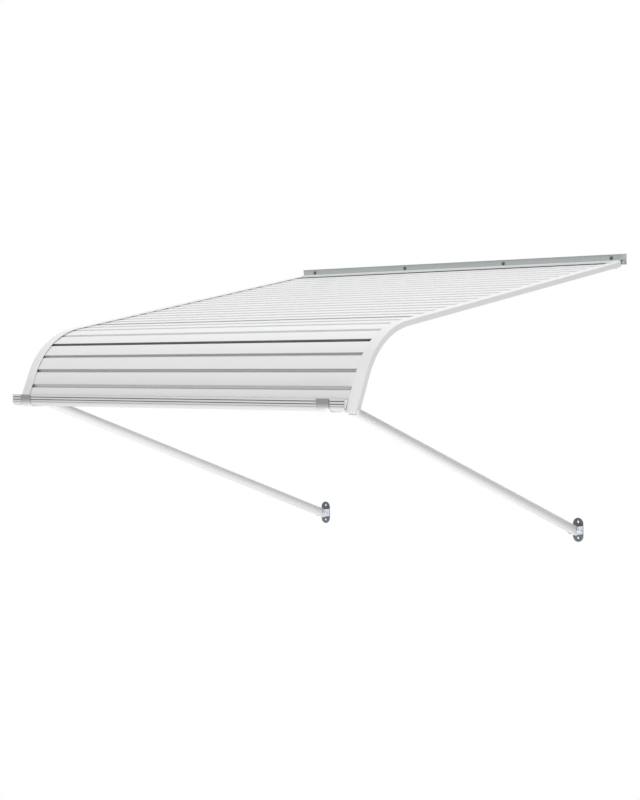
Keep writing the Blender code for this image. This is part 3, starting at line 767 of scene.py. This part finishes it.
class FrontBar(bpy.types.Operator):
    """Draw the front bar: grooves, round nose, slotted top, and a plate in its right end"""

    bl_idname = "canopy.front_bar"
    bl_label = "Front bar"

    def execute(self, context):
        size = sizes()
        low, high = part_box("front_bar")
        front, back, bottom, top = low.y, high.y, low.z, high.z
        wall, lean, slope = size.bar_wall, cos(size.front_angle), tan(size.front_angle)
        corner_round = 0.0006
        section = [(front, top)]
        for down in BAR_GROOVES:
            start, end, deep = top - down, top - down - size.groove_width, front + size.groove_depth
            section += [(front, start), (deep, start), (deep, end), (front, end)]
        grooves = len(section)
        section += nose(front, bottom, 0.0)
        corner = len(section)
        slot = (top + size.drop) * slope - size.projection
        slot_back = slot + (size.channel_depth + CLEARANCE) / lean
        slot_front = slot - wall * slope - CLEARANCE / lean
        section += [
            (back, bottom), (back, top), (slot_back, top), (slot_back, top - wall),
            (back - wall, top - wall), (back - wall, bottom + wall)]
        inner_nose = nose(front, bottom, -wall)
        section += [
            *reversed(inner_nose), (front + wall, top - wall), (slot_front, top - wall),
            (slot_front, top)]
        bm = bmesh.new()
        verts = lay(bm, [(low.x, y, z) for y, z in section])
        bevel(bm, verts[1:grooves], FINE_BREAK, 2, "VERTICES")
        bevel(bm, [verts[0], *verts[corner:corner + 2]], corner_round, 3, "VERTICES")
        draw_out(bm, bm.faces[:], (high.x - low.x, 0.0, 0.0))
        # Painted shade in the bar's grooves: the seam's painted shadow in the upper two, the
        # groove's painted shade in the lowest.
        last = top - BAR_GROOVES[-1]
        for face in bm.faces:
            middle = face.calc_center_median()
            sunk = 2 * SLACK < middle.y - front < size.groove_depth + SLACK
            if sunk and middle.z > last - size.groove_width + SLACK:
                face.material_index = 2 if middle.z > last + 8 * SLACK else 1
        before_slats = [
            (y, z) for y, z in inner_nose
            if y < (z + size.drop) * slope - size.projection - CLEARANCE]
        plate = [(front + wall, top - wall), *before_slats, (slot_front, top - wall)]
        bar_faces = set(bm.faces)
        lay(bm, [(high.x - BAR_PLATE, y, z) for y, z in plate])
        draw_out(bm, [face for face in bm.faces if face not in bar_faces], (BAR_PLATE, 0.0, 0.0))
        for face in bm.faces:
            if face not in bar_faces:
                face.material_index = 3
        # The bar's paint is greyed by painted shade.
        finish = (bar_painted_shade(), groove_painted_shade(), seam_painted_shadow(), white_paint())
        finish_piece(bm, "bar", finish, ["front_bar"])
        return {"FINISHED"}


def ears(bm, pivot, root):
    """Two ears about a pivot: rounds whose side towards a root is drawn out to it."""
    size = sizes()
    turn = Matrix.Rotation(pi / 2, 4, "Y")
    for side in (-1, 1):
        near = pivot.x + side * size.ear_gap / 2
        made = bmesh.ops.create_circle(
            bm, cap_ends=True, segments=40, radius=size.ear_radius,
            matrix=Matrix.Translation((near, pivot.y, pivot.z)) @ turn)["verts"]
        face = made[0].link_faces[0]
        for vert in made:
            if (vert.co.y - pivot.y) * (root - pivot.y) > 1e-6:
                vert.co.y = root
        draw_out(bm, [face], (side * size.ear_sheet, 0.0, 0.0))


class Clamps(bpy.types.Operator):
    """Fold a clamp round the front bar, with two ears behind it, and set one for each arm"""

    bl_idname = "canopy.clamps"
    bl_label = "Clamps"

    def execute(self, context):
        size = sizes()
        low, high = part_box("front_bar")
        front, back, bottom, top = low.y, high.y, low.z, high.z
        near, far = CLEARANCE, CLEARANCE + size.clamp_sheet
        start, tip, bend_round = top - size.clamp_drop, back - size.clamp_hook, 0.0015
        inner = [
            (front - near, start), *nose(front, bottom, near), (back + near, bottom - near),
            (back + near, top + near), (tip, top + near)]
        outer = [
            (tip, top + far), (back + far, top + far), (back + far, bottom - far),
            *reversed(nose(front, bottom, far)), (front - far, start)]
        for name in ("left_clamp", "right_clamp"):
            pivot = joint_place(name.replace("clamp", "arm_pivot"))
            left, right = (corner.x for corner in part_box(name))
            bm = bmesh.new()
            verts = lay(bm, [(left, y, z) for y, z in inner + outer])
            bends = verts[len(inner) + 1:len(inner) + 3]
            bevel(bm, bends, bend_round, 4, "VERTICES")
            draw_out(bm, bm.faces[:], (right - left, 0.0, 0.0))
            ears(bm, pivot, back + CLEARANCE + size.clamp_sheet / 2)
            soften_edges(bm, FINE_BREAK)
            finish_piece(bm, f"{name}_strap", clamp_metal(), [name])
        return {"FINISHED"}


class Arms(bpy.types.Operator):
    """Draw each arm's tube from its clamp to its foot"""

    bl_idname = "canopy.arms"
    bl_label = "Arms"

    def execute(self, context):
        size = sizes()
        radius = size.arm_diameter / 2
        for side in ("left", "right"):
            top, foot = joint_place(f"{side}_arm_pivot"), joint_place(f"{side}_foot_pivot")
            axis = (foot - top).normalized()
            start, end = top - axis * size.arm_past, foot + axis * size.arm_past
            place = Matrix.Translation(start) @ axis.to_track_quat("Z", "X").to_matrix().to_4x4()
            bm = bmesh.new()
            rings = circle(bm, 56, radius, place) + circle(bm, 56, radius - size.arm_wall, place)
            faces = bmesh.ops.bridge_loops(bm, edges=rings)["faces"]
            draw_out(bm, faces, end - start)
            soften_edges(bm, EDGE_BREAK)
            finish_piece(bm, f"{side}_arm_tube", arm_painted_shade(), [f"{side}_arm"])
        return {"FINISHED"}


class Feet(bpy.types.Operator):
    """Press each foot: an oblong plate with a countersunk hole in both lobes, and two ears"""

    bl_idname = "canopy.feet"
    bl_label = "Feet"

    def execute(self, context):
        plate, hole, hole_place, countersink = 0.0020, 0.0030, 0.0215, 0.0012
        upright = Matrix.Rotation(pi / 2, 4, "X")
        for side in ("left", "right"):
            name = f"{side}_foot"
            low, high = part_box(name)
            pivot = joint_place(f"{name}_pivot")
            radius = (high.x - low.x) / 2
            centre = Vector((pivot.x, 0.0, pivot.z))
            bm = bmesh.new()
            circle(bm, 48, radius, Matrix.Translation(centre) @ upright)
            shift = (high.z - low.z) / 2 - radius
            for vert in bm.verts:
                vert.co.z += shift if vert.co.z > centre.z else -shift
            for lobe in (-1, 1):
                middle = centre + Vector((0.0, 0.0, lobe * hole_place))
                circle(bm, 24, hole, Matrix.Translation(middle) @ upright)
            bmesh.ops.triangle_fill(bm, edges=bm.edges[:], use_beauty=True)
            draw_out(bm, bm.faces[:], (0.0, -plate, 0.0))
            bmesh.ops.recalc_face_normals(bm, faces=bm.faces)
            rims = [edge for edge in bm.edges if all(
                vert.co.y < SLACK - plate
                and abs(abs(vert.co.z - centre.z) - hole_place) < hole + SLACK
                and abs(vert.co.x - centre.x) < hole + SLACK for vert in edge.verts)
                and edge.calc_face_angle(0.0) > 1.0]
            bevel(bm, rims, countersink, 2)
            soften_edges(bm, EDGE_BREAK)
            finish_piece(bm, f"{name}_plate", dull_zinc(), [name])
            bm = bmesh.new()
            ears(bm, pivot, -plate / 2)
            soften_edges(bm, EDGE_BREAK)
            finish_piece(bm, f"{name}_ears", bright_zinc(), [name])
        return {"FINISHED"}


class PivotBolts(bpy.types.Operator):
    """Turn a socket-head bolt and cut a nut for each of the four pivots"""

    bl_idname = "canopy.pivot_bolts"
    bl_label = "Pivot bolts"

    def execute(self, context):
        size = sizes()
        grip = size.ear_gap / 2 + size.ear_sheet + CLEARANCE
        shank, head, tall, chamfer = 0.0040, 0.0070, 0.0042, 0.0008
        socket, socket_depth = 0.0027, 0.0025
        nut, nut_tall, past_nut = 0.0065 / cos(pi / 6), 0.0060, 0.0020
        tip = grip + nut_tall + past_nut
        for name in ("left_clamp", "right_clamp", "left_foot", "right_foot"):
            pivot = joint_place(name.replace("clamp", "arm") + "_pivot")
            place = Matrix.Translation(pivot) @ Matrix.Rotation(pi / 2, 4, "Y")
            bm = bmesh.new()
            turn_profile(bm, [
                (0.0, -tip), (shank - chamfer, -tip), (shank, chamfer - tip), (shank, grip),
                (head, grip), (head, grip + 0.55 * tall), (0.95 * head, grip + 0.75 * tall),
                (0.82 * head, grip + 0.92 * tall), (0.66 * head, grip + tall)])
            rim = [edge for edge in bm.edges if edge.is_boundary]
            hexagon = circle(bm, 6, socket, Matrix.Translation((0.0, 0.0, grip + tall)))
            sink(bm, rim, hexagon, -socket_depth)
            bmesh.ops.transform(bm, matrix=place, verts=bm.verts)
            finish_piece(bm, f"{name}_bolt_turned", bright_zinc(), [f"{name}_bolt"])
            bm = bmesh.new()
            seat = Matrix.Translation((0.0, 0.0, -grip - nut_tall))
            rings = circle(bm, 6, nut, seat) + circle(bm, 24, shank + CLEARANCE, seat)
            bmesh.ops.triangle_fill(bm, edges=rings, use_beauty=True)
            draw_out(bm, bm.faces[:], (0.0, 0.0, nut_tall))
            soften_edges(bm, EDGE_BREAK, over=50.0)
            bmesh.ops.transform(bm, matrix=place, verts=bm.verts)
            finish_piece(bm, f"{name}_nut_cut", bright_zinc(), [f"{name}_nut"])
        return {"FINISHED"}


class Screws(bpy.types.Operator):
    """Turn the screws of the wall rail and the side channels"""

    bl_idname = "canopy.screws"
    bl_label = "Screws"

    def execute(self, context):
        for number in range(1, 5):
            low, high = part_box(f"rail_screw_{number}")
            seat = ((low.x + high.x) / 2, -RAIL_PLATE - CLEARANCE, (low.z + high.z) / 2)
            tip = high.y - seat[1]
            pan_screw(f"rail_screw_{number}_head", seat, (0.0, 1.0, 0.0), tip, screw_steel())
        size = sizes()
        channel_screw_length = 0.0055
        middle = size.first_joint - size.slat_groove / 2
        seat = along(middle, -size.channel_depth - CLEARANCE)
        up = (0.0, *(along(middle) - seat))
        for side, name in ((-1, "left_frame_screw"), (1, "right_frame_screw")):
            x = side * (size.width - size.flange) / 2
            pan_screw(f"{name}_head", (x, *seat), up, channel_screw_length, screw_steel())
        low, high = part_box("slat_stop_screw")
        seat = (size.width / 2 + CLEARANCE, (low.y + high.y) / 2, (low.z + high.z) / 2)
        tip = seat[0] - low.x
        pan_screw("slat_stop_screw_head", seat, (-1.0, 0.0, 0.0), tip, bright_zinc())
        return {"FINISHED"}


class Stage(bpy.types.Operator):
    """Lay the floor, light the canopy and set the camera"""

    bl_idname = "canopy.stage"
    bl_label = "Stage"

    def execute(self, context):
        stage = context.scene.canopy_stage
        self.lay_floor(stage)
        self.light_world(context, stage)
        self.add_lamp("key_light", KEY_PLACE, KEY_SIZE, stage.key)
        self.add_lamp("low_light", LOW_PLACE, LOW_SIZE, stage.low)
        self.set_camera(context, stage)
        context.scene.view_settings.view_transform = "Standard"
        return {"FINISHED"}

    def lay_floor(self, stage):
        """A round pale floor that fades to white at its rim and lets the low lamp shine through."""
        bm = bmesh.new()
        bmesh.ops.create_circle(
            bm, cap_ends=True, segments=96, radius=stage.floor_radius,
            matrix=Matrix.Translation((0.0, FLOOR_MIDDLE, -stage.floor_drop)))
        mesh = bpy.data.meshes.new("floor")
        bm.to_mesh(mesh)
        bm.free()
        floor = add_object("floor", mesh)
        made = bpy.data.materials.new("pale_floor")
        made.use_nodes = True
        tree = made.node_tree
        shader = tree.nodes["Principled BSDF"]
        shader.inputs["Base Color"].default_value = (0.86, 0.86, 0.86, 1.0)
        shader.inputs["Roughness"].default_value = 0.8
        place = add_node(tree, "TexCoord")
        shift = add_node(tree, "Mapping", {"Location": (0.0, -FLOOR_MIDDLE, stage.floor_drop)})
        distance = add_node(tree, "VectorMath", operation="LENGTH")
        fade = add_node(tree, "MapRange", {
            "From Min": FADE_FROM * stage.floor_radius, "From Max": FADE_TO * stage.floor_radius})
        both = add_node(tree, "Math", operation="MULTIPLY")
        either = add_node(tree, "Math", operation="MAXIMUM")
        mix = add_node(tree, "MixShader")
        wire(
            tree,
            (place.outputs["Object"], shift.inputs["Vector"]),
            (shift.outputs["Vector"], distance.inputs[0]),
            (distance.outputs["Value"], fade.inputs["Value"]),
            (fade.outputs["Result"], both.inputs[0]),
            (add_node(tree, "LightPath").outputs["Is Camera Ray"], both.inputs[1]),
            (both.outputs["Value"], either.inputs[0]),
            (self.seen_reflected(tree), either.inputs[1]),
            (either.outputs["Value"], mix.inputs["Fac"]),
            (shader.outputs["BSDF"], mix.inputs[1]),
            (add_node(tree, "Emission").outputs["Emission"], mix.inputs[2]),
            (mix.outputs["Shader"], tree.nodes["Material Output"].inputs["Surface"]))
        mesh.materials.append(made)
        floor.visible_shadow = False

    def seen_reflected(self, tree):
        """1 for rays of reflections and through glass."""
        rays = add_node(tree, "LightPath").outputs
        either = add_node(tree, "Math", operation="MAXIMUM")
        wire(
            tree,
            (rays["Is Glossy Ray"], either.inputs[0]),
            (rays["Is Transmission Ray"], either.inputs[1]))
        return either.outputs["Value"]

    def light_world(self, context, stage):
        """White all round for the eye, and a softer light from all round for the surfaces."""
        world = bpy.data.worlds.new("studio")
        context.scene.world = world
        world.use_nodes = True
        tree = world.node_tree
        shader = tree.nodes["Background"]
        shader.inputs["Color"].default_value = (1.0, 1.0, 1.0, 1.0)
        seen = add_node(tree, "Math", operation="MAXIMUM")
        strength = add_node(tree, "MapRange", {"To Min": stage.sky, "To Max": 1.0})
        wire(
            tree,
            (add_node(tree, "LightPath").outputs["Is Camera Ray"], seen.inputs[0]),
            (self.seen_reflected(tree), seen.inputs[1]),
            (seen.outputs["Value"], strength.inputs["Value"]),
            (strength.outputs["Result"], shader.inputs["Strength"]))

    def add_lamp(self, name, place, size, power):
        """A square lamp that looks at the middle of the canopy."""
        lamp = bpy.data.lights.new(name, "AREA")
        lamp.shape = "SQUARE"
        lamp.size = size
        lamp.energy = power
        thing = add_object(name, lamp)
        thing.visible_camera = False
        thing.location = place
        thing.rotation_euler = (LAMP_TARGET - Vector(place)).to_track_quat("-Z", "Y").to_euler()

    def set_camera(self, context, stage):
        """The camera right of the canopy, a little below its roof."""
        level = cos(CAMERA_PITCH)
        forward = Vector((-sin(CAMERA_YAW) * level, cos(CAMERA_YAW) * level, -sin(CAMERA_PITCH)))
        lens = bpy.data.cameras.new("camera")
        lens.lens = stage.lens
        lens.sensor_width = 36.0
        camera = add_object("camera", lens)
        camera.location = CAMERA_PLACE
        aim = forward.to_track_quat("-Z", "Y").to_matrix()
        camera.rotation_euler = (aim @ Matrix.Rotation(CAMERA_ROLL, 3, "Z")).to_euler()
        context.scene.camera = camera


STEPS = (
    WallRail, HingeBar, Slats, SideChannels, FrontBar, Clamps, Arms, Feet, PivotBolts, Screws,
    Stage)


class CanopyPanel(bpy.types.Panel):
    """The canopy's sizes, finishes and steps"""

    bl_idname = "VIEW3D_PT_canopy"
    bl_label = "Door canopy"
    bl_space_type = "VIEW_3D"
    bl_region_type = "UI"
    bl_category = "Canopy"

    def draw(self, context):
        scene = context.scene
        groups = {
            "Sizes": scene.canopy_sizes, "Finishes": scene.canopy_finishes,
            "Stage": scene.canopy_stage}
        for title, group in groups.items():
            box = self.layout.box()
            box.label(text=title)
            for name in group.__annotations__:
                box.prop(group, name)
        column = self.layout.column(align=True)
        for step in STEPS:
            column.operator(step.bl_idname)


GROUPS = (CanopySizes, CanopyFinishes, CanopyStage)


def register():
    """Register the classes and hang the property groups on the scene."""
    for made in (*GROUPS, *STEPS, CanopyPanel):
        bpy.utils.register_class(made)
    bpy.types.Scene.canopy_sizes = PointerProperty(type=CanopySizes)
    bpy.types.Scene.canopy_finishes = PointerProperty(type=CanopyFinishes)
    bpy.types.Scene.canopy_stage = PointerProperty(type=CanopyStage)


def unregister():
    """Take the property groups and classes away again."""
    del bpy.types.Scene.canopy_stage
    del bpy.types.Scene.canopy_finishes
    del bpy.types.Scene.canopy_sizes
    for made in (CanopyPanel, *reversed(STEPS), *reversed(GROUPS)):
        bpy.utils.unregister_class(made)


def main():
    """Build the canopy and its stage step by step."""
    register()
    for step in STEPS:
        getattr(bpy.ops.canopy, step.bl_idname.removeprefix("canopy."))()
    bpy.context.view_layer.update()


if __name__ == "__main__":
    main()
